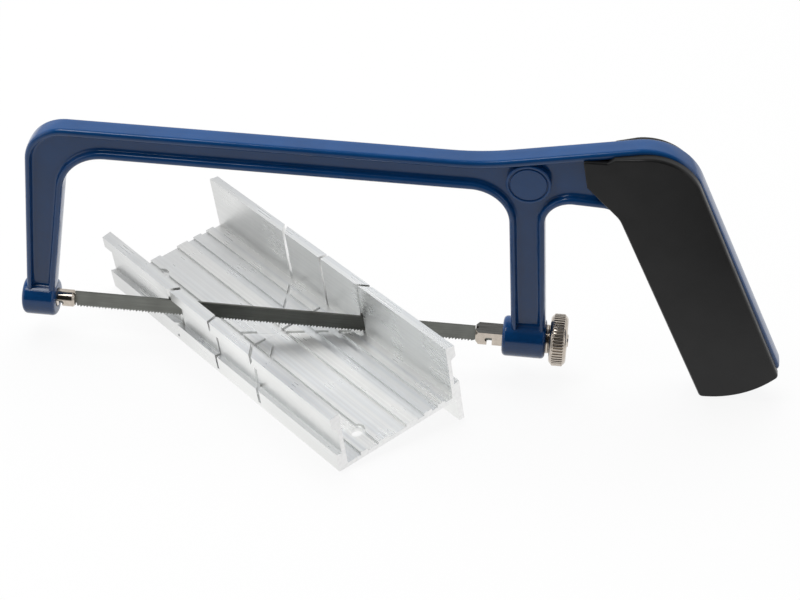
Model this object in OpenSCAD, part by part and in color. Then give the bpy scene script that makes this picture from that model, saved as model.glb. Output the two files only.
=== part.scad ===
// Junior hacksaw standing in an aluminium mitre box, its blade in one of the two 45 degree guide slots.
// Millimetres, +Z up. +X runs along the blade towards the handle, and the floor is at z = 0.
// The box stands tilted, on its left foot and on the lower edge of its bench hook.

/* [Mitre box] */
// Length of the extruded box
box_length = 135; // [110:1:180]
// Clear width of the channel between the walls
channel_width = 42; // [34:0.5:60]
// Height of the walls above the underside
wall_height = 22; // [18:0.5:32]
// Thickness of the walls
wall_t = 1.45; // [1:0.05:2.4]
// Thickness of the floor between its ribs
floor_t = 1.5; // [1.2:0.1:3]
// Height of the ribs above the floor
rib_height = 0.9; // [0.5:0.1:1.5]
// Middle of each floor rib, measured across the channel
rib_places = [-14.4, -6.8, 4.6, 11.1, 16.6]; // [-17:0.1:17]
// Width of each floor rib
rib_widths = [2.7, 4.1, 4.5, 3.2, 3.1]; // [2:0.1:5]
// How far the thick upper edge of a wall stands out from the wall's inner face
lip_out = 3.4; // [2.6:0.1:5]
// How much lower the top of the thick upper edge is at its outer side
lip_fall = 0.6; // [0:0.05:1.2]
// Height of the thick upper edge's outer face, over its fall
lip_height = 4.8; // [3:0.1:7]
// Extra height of the thick upper edge where its sloping underside meets the wall
lip_slope = 0.9; // [0.2:0.1:2]
// How far a foot stands out from the wall's inner face
foot_out = 3.45; // [2.6:0.05:5]
// Height of a foot's outer edge above the underside
foot_height = 6.9; // [4:0.1:9]
// How much lower the foot's ledge is where it meets the wall
ledge_fall = 0.35; // [0:0.05:1]
// How far the bench hook hangs below the underside
hook_drop = 8.9; // [5:0.1:16]
// Thickness of the bench hook
hook_t = 2; // [1.2:0.1:3]
// Width of the guide slots
slot_w = 1.1; // [0.9:0.05:1.6]
// How deep the guide slots go into the floor, below the foot of its ribs
slot_cut = 0.05; // [0:0.05:0.5]
// Distance of the slots' crossing from the middle of the box's length
slot_shift = 0.55; // [-5:0.05:5]
// Diameter of the bench screw holes
screw_hole_d = 4; // [3:0.1:5]
// Distance of a screw hole from its end of the box
screw_hole_inset = 9.5; // [6:0.1:14]
// Place of the screw holes across the channel
screw_hole_y = -10.6; // [-14:0.1:14]
// Diameter of the flat round each screw hole, where the rib beside it is cut away
screw_seat_d = 6; // [5:0.1:9]

/* [Blade] */
// Overall length of the blade
blade_length = 150; // [140:1:165]
// Height of the blade over its teeth
blade_height = 6.35; // [5.5:0.05:8]
// Thickness of the blade
blade_t = 0.65; // [0.5:0.05:0.8]
// Distance from tooth to tooth
tooth_pitch = 1.06; // [0.8:0.02:1.8]
// Depth of the teeth
tooth_depth = 0.55; // [0.3:0.05:0.8]
// Height of the narrow tab at each end of the blade
tab_height = 3.2; // [2.6:0.1:3.8]
// Distance of a pin from its end of the blade
pin_inset = 3.1; // [2.4:0.1:4]
// Diameter of the pins
pin_d = 1.4; // [1:0.1:1.8]
// Length of the pins
pin_length = 4.4; // [3:0.1:5]
// Place of the blade's middle along its guide slot, as the saw stands
blade_rest = -1.5; // [-10:0.1:10]

/* [Blade holders and nut] */
// Distance from the front pin to the tip of its holder
front_holder_tip = 4.35; // [3:0.05:5]
// Distance from the rear pin to the tip of its holder
rear_holder_tip = 3.95; // [3:0.05:5]
// Height of the rear holder's axis over the blade's axis
rear_rise = 0.3; // [0:0.1:0.6]
// Diameter of the round front holder
front_holder_d = 5.8; // [5.4:0.1:7]
// How deep the front holder sits in its boss
front_holder_seat = 8.5; // [5:0.5:10]
// Width of the square rear holder across the blade
rear_holder_w = 5.6; // [5.2:0.1:6.5]
// Height of the square rear holder
rear_holder_h = 4.9; // [4.6:0.1:6]
// How far the rear holder's square part reaches into its boss
rear_holder_seat = 7; // [5:0.5:10]
// Chamfer at the holders' tips
tip_chamfer = 0.7; // [0.3:0.1:1]
// Extra width of a pin notch's mouth over the pin
notch_play = 0.35; // [0.2:0.05:0.6]
// Travel that lets the pins leave their pockets
release_travel = 0.7; // [0.6:0.05:1.2]
// Diameter of the rear holder's threaded tail
tail_d = 4.8; // [3.8:0.1:4.8]
// How far the tail stands out of the nut
tail_out = 0.4; // [0.3:0.1:3]
// Diameter over the nut's knurled band
nut_d = 17.3; // [14:0.1:22]
// Thickness of the nut
nut_t = 5.7; // [4:0.1:9]
// Number of knurled ridges
knurl_count = 50; // [36:1:72]
// Depth of the knurled grooves
knurl_depth = 0.35; // [0.2:0.05:0.6]
// Width of the smooth chamfered rim at each side of the knurled band
nut_rim = 0.9; // [0.5:0.1:1.5]
// Diameter of the washer and of the hub under the nut
washer_d = 9.6; // [9:0.1:12]
// Thickness of the washer
washer_t = 0.9; // [0.8:0.1:2]
// Height of the hub under the nut
nut_hub = 0.3; // [0.3:0.1:1.5]

/* [Saw frame] */
// Thickness of the cast frame over its rims
frame_t = 7.3; // [6.4:0.1:10]
// Thickness of the recessed web
web_t = 2.6; // [2:0.1:3.4]
// Width of the raised rim round the web
rim_w = 2.1; // [1.4:0.1:2.6]
// Height from the blade's axis to the underside of the top bar
throat = 60.8; // [50:0.1:80]
// Height of the top bar
bar_height = 10.9; // [9:0.1:12]
// Diameter of the front boss
front_boss_d = 12.7; // [11:0.1:15]
// Length of the front boss
front_boss_l = 11.1; // [9:0.1:16]
// Diameter of the rear boss
rear_boss_d = 13.4; // [11:0.1:16]
// Length of the rear boss
rear_boss_l = 14.3; // [12:0.1:18]
// Length of the front holder that shows behind its boss
front_holder_show = 6.1; // [5.8:0.1:8]
// Length of the rear holder that shows in front of its boss
rear_holder_show = 8.9; // [8:0.1:12]
// Rounding of the bosses' ends
boss_round = 1.2; // [0.5:0.1:2]
// Forward lean of the front arm's outer edge, in degrees
front_arm_lean = 5.3; // [3:0.1:8]
// Forward lean of the front arm's inner edge, in degrees
front_arm_inner_lean = 9; // [6:0.1:11]
// Width of the front arm at the blade's axis
front_arm_w = 9.3; // [7:0.1:11]
// Backward lean of the rear arm, in degrees
rear_arm_lean = 3.1; // [0:0.1:5]
// Width of the rear arm
rear_arm_w = 11.4; // [9:0.1:13]
// Rounding of the frame's outer front corner
front_corner_r = 14; // [8:0.5:18]
// Rounding of the throat's front corner
throat_front_r = 15; // [8:0.5:20]
// Rounding of the throat's rear corner
throat_rear_r = 12.5; // [8:0.5:16]
// Diameter of the bare round pad over the rear arm
pad_d = 14.2; // [10:0.1:16]
// Depth of the pad's middle below the top of the bar
pad_drop = 6.5; // [5:0.1:9]
// Distance of the pad's middle in front of the rear boss's back face
pad_back = 8.5; // [7:0.1:10]
// Width of the ring round the pad's groove
pad_ring_w = 0.9; // [0.6:0.1:1.5]
// Width and depth of the groove round the pad's disc
pad_groove = 0.45; // [0.3:0.05:1]
// Height of the pad above the web
pad_height = 2.2; // [0.8:0.1:2.6]

/* [Handle] */
// Place where the top bar turns upwards into the neck, from the middle of the blade
kink_x = 67.5; // [60:0.1:76]
// Rounding of the bend between the top bar and the neck
kink_r = 95; // [40:1:110]
// Rise of the neck, in degrees
neck_rise = 11.1; // [6:0.1:16]
// Backward rake of the handle, in degrees
handle_rake = 24.3; // [16:0.1:30]
// Width of the handle from front to back
handle_w = 27.6; // [22:0.1:32]
// Height of the handle's lowest corner above the floor, as the saw stands
floor_gap = 0; // [-0.2:0.1:12]
// Distance of the handle's front edge from the rear arm, at the top of the finger gap
finger_gap = 22.9; // [18:0.1:30]
// Height of the finger gap's top over the blade's axis, at the rear arm
finger_gap_top = 58.5; // [50:0.1:62]
// Fall of the finger gap's top towards the handle
finger_gap_fall = 1.1; // [0:0.1:3]
// Rounding of the finger gap's corners
finger_gap_r = 8.2; // [4:0.1:9]
// Rounding of the handle's upper back corner
handle_top_r = 19; // [10:0.5:24]
// How far the bulge of the handle's bottom end stands out
handle_bulge = 5.5; // [3:0.1:7]
// Rounding of the handle's bottom corners
handle_corner_r = 1.6; // [0.8:0.1:3]
// How far the grips reach past the frame at the bottom end
grip_over = 1.2; // [0.4:0.1:3]
// How far the grips stand back from the frame's top and back edges
grip_back = 1.5; // [0.2:0.1:1.6]
// Thickness of a grip outside the rim, at the middle
grip_t = 3.8; // [2.4:0.1:6]
// Height of a grip's upright edge outside the rim
grip_edge = 1.2; // [0.6:0.1:2]
// Distance along the neck from the kink to the grips' front edge
grip_start = 32.4; // [29:0.1:36]
// Length of the grips' tongue that lies inside the rim
grip_tongue = 6.3; // [4:0.1:10]
// Length along the neck of the slant where the grips rise over the top rim
grip_step = 2.6; // [1.5:0.1:5]
// How much the tongue's upper edge falls away from the top rim
tongue_fall = 1.8; // [0.5:0.1:2.5]
// Length of the grips' front edge
grip_front = 11; // [9:0.1:13]
// Distance below the finger gap at which the grips come to the handle's front edge
grip_meet = 3.3; // [2:0.1:5]
// Rounding of the grips where they come to the handle's front edge
grip_meet_r = 6; // [2:0.1:8]
// Diameter of the pegs that join the two grips
peg_d = 4; // [3:0.1:5]

/* [Clearances] */
// Gap between the teeth and the bottom of the guide slot that they come nearest to
teeth_gap = 0.2; // [0.15:0.05:1]
// Gap between the blade's shoulders and the holders' tips
shoulder_gap = 0.2; // [0.1:0.05:0.5]
// Gap round the blade's tabs in the holders' slits
slit_gap = 0.13; // [0.08:0.01:0.25]
// Sliding gap round the square holder in its boss
slide_gap = 0.12; // [0.05:0.01:0.25]
// Radial gap between the nut and the tail
thread_gap = 0.06; // [0.03:0.01:0.1]
// Gap of the pieces that are pushed together and stay so
press_gap = 0.03; // [0.01:0.01:0.06]
// Gap between the grips and the recess that they lie in
grip_gap = 0.15; // [0.1:0.01:0.3]
// Gap at the faces that turn against each other
face_gap = 0.05; // [0.02:0.01:0.2]

/* [Hidden] */
$fn = 64;
eps = 0.01;
far = 200;

// How the box stands: it tips over the left foot until the hook's inner edge meets the floor.
half_channel = channel_width / 2;
lip_y = half_channel + lip_out;
foot_y = half_channel + foot_out;
hook_inner_y = foot_y - hook_t;
tilt = atan(hook_drop / (hook_inner_y + foot_y));
crossing_h = foot_y * sin(tilt);

// How the saw stands: its blade is level in the 45 degree slot, so the saw leans with the tilted box.
slot_pitch = atan(tan(tilt) * sin(45));
lean = asin(sin(tilt) * sin(45));
yaw = -atan2(cos(slot_pitch) * cos(tilt) * cos(45) + sin(slot_pitch) * sin(tilt), cos(slot_pitch) * cos(45));
slot_reach = foot_y / sin(45) + blade_t / 2;
slot_floor = floor_t - slot_cut;
teeth_up = (slot_floor + teeth_gap) * cos(slot_pitch) + slot_reach * sin(slot_pitch);
axis_up = teeth_up + blade_height / 2;

// Places along the blade, from its middle.
pin_x = blade_length / 2 - pin_inset;
front_tip_x = pin_x - front_holder_tip;
rear_tip_x = pin_x - rear_holder_tip;
front_boss_x = -front_tip_x - front_holder_show - front_boss_l;
rear_boss_x = rear_tip_x + rear_holder_show;
rear_face_x = rear_boss_x + rear_boss_l;
washer_x = rear_face_x + press_gap;
nut_x = washer_x + washer_t + face_gap;
tail_end_x = nut_x + nut_hub + nut_t + tail_out;

// The blade's tabs, and the slits and notches that hold them.
front_shoulder_x = -front_tip_x + shoulder_gap;
rear_shoulder_x = rear_tip_x - shoulder_gap;
open_tip = release_travel + slit_gap;
slit_w = blade_t + 2 * slit_gap;
slit_top = tab_height / 2 + slit_gap;
slit_end = pin_x + pin_inset + release_travel + 2 * slit_gap;
notch_w = pin_d + notch_play;
pocket_r = pin_d / 2 + slit_gap;

// Outlines. Each is a list of corners, [x, z, rounding, degrees to a step], that runs anticlockwise.
function unit(v) = v / norm(v);
function xz(p) = [p[0], p[1]];
function with_r(p, r) = [p[0], p[1], r, r < 2 ? 30 : 9];
function turn(a, b, c) = (b[0] - a[0]) * (c[1] - b[1]) - (b[1] - a[1]) * (c[0] - b[0]);
function arc_about(m, r, from, sweep, n) =
    [for (i = [0 : n]) m + r * [cos(from + sweep * i / n), sin(from + sweep * i / n)]];
function corner(a, b, c, r, step) =
    let(u = unit(a - b), w = unit(c - b), half = acos(u * w) / 2, m = b + unit(u + w) * r / sin(half))
    let(start = b + u * r / tan(half) - m, sweep = sign(turn(a, b, c)) * (180 - 2 * half))
    arc_about(m, r, atan2(start[1], start[0]), sweep, max(1, ceil(abs(sweep) / step - 0.01)));
function rounded(path) =
    let(n = len(path))
    [for (i = [0 : n - 1])
        let(a = xz(path[(i + n - 1) % n]), b = xz(path[i]), c = xz(path[(i + 1) % n]))
        each (path[i][2] > 0 ? corner(a, b, c, path[i][2], path[i][3]) : [b])];

// Moves every side of an outline inwards by the same distance.
function inward(a, b) = let(d = unit(b - a)) [-d[1], d[0]];
function inset(path, d) =
    let(n = len(path))
    [for (i = [0 : n - 1])
        let(a = xz(path[(i + n - 1) % n]), b = xz(path[i]), c = xz(path[(i + 1) % n]))
        let(p = inward(a, b), q = inward(b, c), at = b + (p + q) * d / (1 + p * q))
        let(r = path[i][2] > 0 ? max(0.2, path[i][2] - sign(turn(a, b, c)) * d) : 0)
        [at[0], at[1], r, path[i][3]]];

// Corners of the frame and the handle, in the blade's plane.
bar_top = throat + bar_height;
kink = [kink_x, bar_top];
neck_dir = [cos(neck_rise), sin(neck_rise)];
neck_out = [-sin(neck_rise), cos(neck_rise)];
function neck(along, up) = kink + along * neck_dir + up * neck_out;
front_arm_x = front_boss_x + 1;
rear_arm_x = rear_face_x - rear_arm_w;
function front_outer(z) = [front_arm_x + z * tan(front_arm_lean), z];
function front_inner(z) = [front_arm_x + front_arm_w + z * tan(front_arm_inner_lean), z];
function rear_edge(x, z) = [x - z * tan(rear_arm_lean), z];
gap_front = rear_edge(rear_face_x, finger_gap_top);
gap_back = gap_front + [finger_gap, -finger_gap_fall];
down = [sin(handle_rake), -cos(handle_rake)];
back = [cos(handle_rake), sin(handle_rake)];
edge_y = frame_t / 2 + grip_edge;
handle_low = (floor_gap - crossing_h + edge_y * sin(lean)) / cos(lean) - axis_up;
handle_l = (gap_back[1] - handle_low) / cos(handle_rake);
function across(v) = [v[1], -v[0]];
function meet(p, d, q, e) = p + d * ((q - p) * across(e)) / (d * across(e));
function handle_top(inside) =
    meet(neck(0, -inside), neck_dir, gap_back + back * (handle_w - inside), down);
function handle_end(inside, short) =
    let(front = gap_back + down * (handle_l - short), rear = front + back * (handle_w - inside))
    let(middle = (front + rear) / 2 + down * handle_bulge)
    [with_r(front, handle_corner_r), with_r(middle, handle_w * 1.1), with_r(rear, handle_corner_r)];
frame_path = [
    with_r(front_outer(0), 0),
    with_r(front_inner(0), 0),
    with_r(front_inner(throat), throat_front_r),
    with_r(rear_edge(rear_arm_x, throat), throat_rear_r),
    with_r(rear_edge(rear_arm_x, 0), 0),
    with_r(rear_edge(rear_face_x, 0), 0),
    with_r(gap_front, finger_gap_r),
    with_r(gap_back, finger_gap_r),
    each handle_end(0, grip_over),
    with_r(handle_top(0), handle_top_r),
    with_r(kink, kink_r),
    with_r(front_outer(bar_top), front_corner_r)];
grip_path = [
    with_r(neck(grip_start, -rim_w - grip_front), 0.6),
    with_r(gap_back + down * grip_meet, grip_meet_r),
    each handle_end(grip_back, 0),
    with_r(handle_top(grip_back), handle_top_r - grip_back),
    with_r(neck(grip_start + grip_tongue + grip_step, -grip_back), 1.5),
    with_r(neck(grip_start + grip_tongue, -rim_w - grip_gap - tongue_fall), 1),
    with_r(neck(grip_start, -rim_w - grip_gap), 0.6)];
pad_at = [rear_face_x - pad_back, bar_top - pad_drop];
peg_places = [for (far_down = [0.12, 0.78]) gap_back + back * handle_w / 2 + down * handle_l * far_down];

// Where the pieces stand. The middle of the whole part's footprint goes to the origin.
function lean_point(p) = let(y = p[1], z = axis_up + p[2])
    [blade_rest + p[0], y * cos(lean) - z * sin(lean), crossing_h + y * sin(lean) + z * cos(lean)];
function tilt_point(p) = let(y = p[1] * cos(tilt) - p[2] * sin(tilt), z = p[1] * sin(tilt) + p[2] * cos(tilt))
    [p[0] * cos(yaw) - y * sin(yaw), p[0] * sin(yaw) + y * cos(yaw), crossing_h + z];
box_edges = [[-foot_y, 0], [-foot_y, foot_height], [-lip_y, wall_height - lip_height],
             [-lip_y, wall_height - lip_fall], [lip_y, wall_height - lip_fall], [half_channel, wall_height],
             [lip_y, wall_height - lip_height], [foot_y, foot_height],
             [foot_y, -hook_drop], [hook_inner_y, -hook_drop]];
reach = concat(
    [for (x = [-0.5, 0.5] * box_length) for (e = box_edges) tilt_point([x + slot_shift, e[0], e[1]])],
    [for (p = rounded(frame_path)) for (y = [-0.5, 0.5] * frame_t) lean_point([p[0], y, p[1]])],
    [for (p = rounded(grip_path)) for (y = [-edge_y, edge_y]) lean_point([p[0], y, p[1]])],
    [lean_point([front_boss_x, 0, 0])]);
function low(i) = min([for (p = reach) p[i]]);
function high(i) = max([for (p = reach) p[i]]);
home = [-(low(0) + high(0)) / 2, -(low(1) + high(1)) / 2, -low(2)];

module in_saw() {
    translate(home + [0, 0, crossing_h]) rotate([lean, 0, 0]) translate([blade_rest, 0, axis_up]) children();
}
module in_box() {
    translate(home + [0, 0, crossing_h]) rotate([0, 0, yaw]) rotate([tilt, 0, 0]) children();
}

// Draws an outline in the blade's plane. Its thickness runs across the blade, from y to y + t.
module plate(points, y, t) {
    translate([0, y + t, 0]) rotate([90, 0, 0]) linear_extrude(t) polygon(points);
}

// Lifts the pieces on the rear holder's axis.
module raised() {
    translate([0, 0, rear_rise]) children();
}

// Draws a rod along the blade, from x to x + l.
module rod(d, x, l) {
    translate([x, 0, 0]) rotate([0, 90, 0]) cylinder(d = d, h = l);
}

// Draws a turned piece along the blade. Its profile is a list of [radius, distance from x].
module turned(profile, x) {
    translate([x, 0, 0]) rotate([0, 90, 0]) rotate_extrude() polygon(profile);
}

// Draws a rod with rounded ends.
module round_rod(d, x, l, r) {
    translate([x, 0, 0]) rotate([0, 90, 0]) rotate_extrude() {
        square([d / 2 - r, l]);
        translate([0, r]) square([d / 2, l - 2 * r]);
        translate([d / 2 - r, r]) circle(r);
        translate([d / 2 - r, l - r]) circle(r);
    }
}

// Draws a block along the blade, from x to x + l, that is w wide and reaches from z0 to z1.
module bar(x, l, w, z0, z1) {
    translate([x, -w / 2, z0]) cube([l, w, z1 - z0]);
}

// The extruded box. Three guide slots cross at the middle of its floor.
rib_points = [for (i = [len(rib_places) - 1 : -1 : 0])
    let(a = rib_places[i] + rib_widths[i] / 2, b = rib_places[i] - rib_widths[i] / 2, top = floor_t + rib_height)
    each [[a, floor_t], [a, top], [b, top], [b, floor_t]]];
wall_y = half_channel + wall_t;
lip_under = wall_height - lip_height;
box_profile = concat(
    [[-foot_y, 0], [hook_inner_y, 0], [hook_inner_y, -hook_drop], [foot_y, -hook_drop], [foot_y, foot_height],
     [wall_y, foot_height - ledge_fall], [wall_y, lip_under - lip_slope], [lip_y, lip_under],
     [lip_y, wall_height - lip_fall], [half_channel, wall_height], [half_channel, floor_t]],
    rib_points,
    [[-half_channel, floor_t], [-half_channel, wall_height], [-lip_y, wall_height - lip_fall], [-lip_y, lip_under],
     [-wall_y, lip_under - lip_slope], [-wall_y, foot_height - ledge_fall], [-foot_y, foot_height]]);

module mitre_box() {
    color("silver") in_box() difference() {
        translate([slot_shift - box_length / 2, 0, 0]) rotate([90, 0, 90]) linear_extrude(box_length) polygon(box_profile);
        for (turned = [90, 45, -45])
            rotate([0, 0, turned]) translate([-far / 2, -slot_w / 2, slot_floor]) cube([far, slot_w, far]);
        for (x = [-1, 1] * (box_length / 2 - screw_hole_inset))
            translate([slot_shift + x, screw_hole_y, 0]) {
                translate([0, 0, -1]) cylinder(d = screw_hole_d, h = floor_t + 2);
                translate([0, 0, floor_t]) cylinder(d = screw_seat_d, h = rib_height + 1);
            }
    }
}

// The cast frame, with a recess on each side, two bosses for the holders and a bare round pad.
recess = (frame_t - web_t) / 2;
module saw_frame() {
    color("mediumblue") in_saw() difference() {
        union() {
            difference() {
                plate(rounded(frame_path), -frame_t / 2, frame_t);
                for (y = [web_t / 2, -web_t / 2 - recess - eps])
                    plate(rounded(inset(frame_path, rim_w)), y, recess + eps);
                for (p = peg_places)
                    translate([p[0], 0, p[1]]) rotate([90, 0, 0])
                        cylinder(d = peg_d + 2 * grip_gap, h = frame_t, center = true);
            }
            round_rod(front_boss_d, front_boss_x, front_boss_l, boss_round);
            raised() round_rod(rear_boss_d, rear_boss_x, rear_boss_l, boss_round);
            pad(pad_d);
        }
        rod(front_holder_d + 2 * press_gap, front_boss_x + front_boss_l - front_holder_seat - press_gap, far);
        raised() bar(rear_boss_x - 1, far, rear_holder_w + 2 * slide_gap, -rear_slot_z, rear_slot_z);
        for (y = [-1, 1] * (web_t / 2 + pad_height)) pad_ring(y);
    }
}
rear_slot_z = rear_holder_h / 2 + slide_gap;
module pad(d) {
    translate([pad_at[0], 0, pad_at[1]]) rotate([90, 0, 0]) cylinder(d = d, h = web_t + 2 * pad_height, center = true);
}
module pad_ring(y) {
    translate([pad_at[0], y, pad_at[1]]) rotate([90, 0, 0]) difference() {
        cylinder(d = pad_d - 2 * pad_ring_w, h = 2 * pad_groove, center = true);
        cylinder(d = pad_d - 2 * pad_ring_w - 2 * pad_groove, h = 4 * pad_groove, center = true);
    }
}

// A grip fills the recess from the web outwards and lies over the rim. Its outer face is crowned.
grip_steps = [[0, 0], [0, grip_edge], [0.3, grip_edge + 0.6], [1, grip_edge + 1.2], [2.4, grip_t]];
module grip(side) {
    base = frame_t / 2 + press_gap;
    inner = web_t / 2 + press_gap;
    core = gap_back + back * handle_w * 0.4;
    points = [
        for (s = grip_steps) for (p = rounded(inset(grip_path, s[0]))) [p[0], side * (base + s[1]), p[1]],
        for (y = [base, base + grip_t]) [core[0], side * y, core[1]]];
    n = (len(points) - 2) / len(grip_steps);
    end = len(points) - 2;
    skin = [
        for (k = [0 : n : end - 2 * n]) for (i = [0 : n - 1])
            let(a = k + i, b = k + (i + 1) % n) each [[a, b, b + n], [a, b + n, a + n]],
        for (i = [0 : n - 1]) let(j = (i + 1) % n) each [[j, i, end], [end - n + i, end - n + j, end + 1]]];
    polyhedron(points, [for (f = skin) side > 0 ? f : [f[2], f[1], f[0]]]);
    intersection() {
        plate(rounded(inset(grip_path, 0.1)), side > 0 ? inner : -base - 0.5, base - inner + 0.5);
        plate(rounded(inset(frame_path, rim_w + grip_gap)), side > 0 ? inner : -base - 0.5, base - inner + 0.5);
    }
}
module peg(d, y0, y1) {
    for (p = peg_places) translate([p[0], y1, p[1]]) rotate([90, 0, 0]) cylinder(d = d, h = y1 - y0);
}
module left_grip() {
    color("#222226") in_saw() {
        grip(-1);
        peg(peg_d, -frame_t / 2, web_t / 2 + 2.5);
    }
}
module right_grip() {
    color("#26262a") in_saw() difference() {
        grip(1);
        peg(peg_d + 2 * press_gap, 0, web_t / 2 + 2.6);
    }
}

// The cut that takes the blade's tab and pin, drawn for the rear holder. It opens at the tip and the bottom.
module blade_cut() {
    bar(pin_x - far, far + slit_end - pin_x, slit_w, -far, slit_top);
    bar(pin_x + release_travel - notch_w / 2, notch_w, far, -far, pocket_r);
    bar(pin_x, release_travel, far, -pocket_r, pocket_r);
    translate([pin_x, 0, 0]) rotate([90, 0, 0]) cylinder(r = pocket_r, h = far, center = true);
}
module front_blade_holder() {
    color("lightgray") in_saw() mirror([1, 0, 0]) difference() {
        turned([[0, 0], [front_holder_d / 2 - tip_chamfer, 0], [front_holder_d / 2, tip_chamfer],
                [front_holder_d / 2, front_holder_show + front_holder_seat],
                [0, front_holder_show + front_holder_seat]], front_tip_x);
        blade_cut();
    }
}
bar_end_x = rear_boss_x + rear_holder_seat;
bar_half = norm([rear_holder_w, rear_holder_h]) / 2;
module rear_blade_holder() {
    color("lightgray") in_saw() {
        difference() {
            raised() intersection() {
                bar(rear_tip_x, bar_end_x - rear_tip_x, rear_holder_w, -rear_holder_h / 2, rear_holder_h / 2);
                turned([[0, 0], [bar_half - 1.4 * tip_chamfer, 0], [bar_half + 1, 1.4 * tip_chamfer + 1],
                        [bar_half + 1, far], [0, far]], rear_tip_x);
            }
            blade_cut();
            bar(rear_tip_x - 1, open_tip + 1, slit_w, -far, far);
        }
        raised() turned([[0, -1], [tail_d / 2, -1], [tail_d / 2, tail_end_x - bar_end_x - 0.5],
                [tail_d / 2 - 0.5, tail_end_x - bar_end_x], [0, tail_end_x - bar_end_x]], bar_end_x);
    }
}

// The knurled nut pulls the rear holder back through its boss and so draws the blade tight.
knurl_points = [for (i = [0 : 2 * knurl_count - 1])
    let(r = nut_d / 2 - (i % 2) * knurl_depth, at = i * 180 / knurl_count) r * [cos(at), sin(at)]];
nut_body_x = nut_x + nut_hub;
rim_r = nut_d / 2 - knurl_depth - 0.1;
nut_bore_r = tail_d / 2 + thread_gap;
module tension_nut() {
    color("gainsboro") in_saw() raised() {
        turned([[nut_bore_r, 0], [washer_d / 2, 0], [washer_d / 2, nut_hub], [rim_r - 0.8, nut_hub],
                [rim_r, nut_hub + nut_rim], [rim_r, nut_hub + nut_t - nut_rim], [rim_r - 0.8, nut_hub + nut_t],
                [nut_bore_r, nut_hub + nut_t]], nut_x);
        translate([nut_body_x + nut_rim, 0, 0]) rotate([0, 90, 0]) difference() {
            linear_extrude(nut_t - 2 * nut_rim) polygon(knurl_points);
            translate([0, 0, -1]) cylinder(r = rim_r - 1, h = nut_t);
        }
    }
}
module nut_washer() {
    color("gainsboro") in_saw() raised() difference() {
        rod(washer_d, washer_x, washer_t);
        rod(tail_d + 0.5, washer_x - 1, washer_t + 2);
    }
}

// The blade, with a narrow tab at each end. Its teeth point away from the handle.
tooth_count = floor((rear_shoulder_x - front_shoulder_x) / tooth_pitch);
teeth_x = front_shoulder_x + eps;
root_z = tooth_depth - blade_height / 2;
tooth_points = [for (i = [0 : tooth_count - 1]) let(x = teeth_x + i * tooth_pitch)
    each [[x, root_z], [x + tooth_pitch / 5, -blade_height / 2]]];
tab = tab_height / 2;
blade_points = concat(
    [[-blade_length / 2, -tab], [front_shoulder_x, -tab]],
    tooth_points,
    [[rear_shoulder_x, root_z], [rear_shoulder_x, -tab], [blade_length / 2, -tab], [blade_length / 2, tab],
     [rear_shoulder_x, tab], [rear_shoulder_x, blade_height / 2], [front_shoulder_x, blade_height / 2],
     [front_shoulder_x, tab], [-blade_length / 2, tab]]);
module saw_blade() {
    color("dimgray") in_saw() difference() {
        plate(blade_points, -blade_t / 2, blade_t);
        for (x = [-pin_x, pin_x]) pin(x, pin_d + 2 * press_gap, 2 * blade_t);
    }
}
module pin(x, d, l) {
    translate([x, 0, 0]) rotate([90, 0, 0]) cylinder(d = d, h = l, center = true);
}
module front_blade_pin() {
    color("gray") in_saw() pin(-pin_x, pin_d, pin_length);
}
module rear_blade_pin() {
    color("gray") in_saw() pin(pin_x, pin_d, pin_length);
}

mitre_box();
saw_frame();
left_grip();
right_grip();
front_blade_holder();
rear_blade_holder();
tension_nut();
nut_washer();
saw_blade();
front_blade_pin();
rear_blade_pin();
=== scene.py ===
"""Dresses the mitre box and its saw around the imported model, and lights them on a plain white table."""

import math

import bmesh
import bpy
from bpy.props import FloatProperty, FloatVectorProperty, IntProperty, PointerProperty
from mathutils import Matrix, Vector


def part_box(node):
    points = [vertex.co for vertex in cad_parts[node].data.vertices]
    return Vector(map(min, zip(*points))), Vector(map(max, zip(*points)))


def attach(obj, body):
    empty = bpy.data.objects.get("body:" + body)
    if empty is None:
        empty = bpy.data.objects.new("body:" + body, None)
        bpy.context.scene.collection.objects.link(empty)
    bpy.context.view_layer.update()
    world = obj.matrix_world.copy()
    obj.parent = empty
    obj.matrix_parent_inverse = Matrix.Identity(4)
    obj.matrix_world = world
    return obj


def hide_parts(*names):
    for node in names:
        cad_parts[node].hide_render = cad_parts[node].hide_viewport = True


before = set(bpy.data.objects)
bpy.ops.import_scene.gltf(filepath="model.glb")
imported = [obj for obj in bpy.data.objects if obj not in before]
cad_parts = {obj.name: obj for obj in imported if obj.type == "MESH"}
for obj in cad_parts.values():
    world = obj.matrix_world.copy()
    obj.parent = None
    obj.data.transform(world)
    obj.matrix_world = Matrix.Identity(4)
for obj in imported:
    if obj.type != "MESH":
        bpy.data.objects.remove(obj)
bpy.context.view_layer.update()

bl_info = {
    "name": "Mitre box with saw",
    "version": (1, 0, 0),
    "blender": (4, 5, 0),
    "location": "3D View > Sidebar > Mitre box",
    "description": "Dresses a junior saw and the aluminium mitre box that it stands in",
    "category": "Object",
}

# Sizes below are in millimetres unless a comment says otherwise. Blender's are in metres.
MM = 0.001

# How the saw leans, how the box is tilted and turned, and where the box's slots cross,
# from the blade's middle.
LEAN = math.radians(7.57545)
TILT = math.radians(10.745)
YAW = math.radians(-45.5067)
CROSSING = (1.5, 0, -9.45212)

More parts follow.
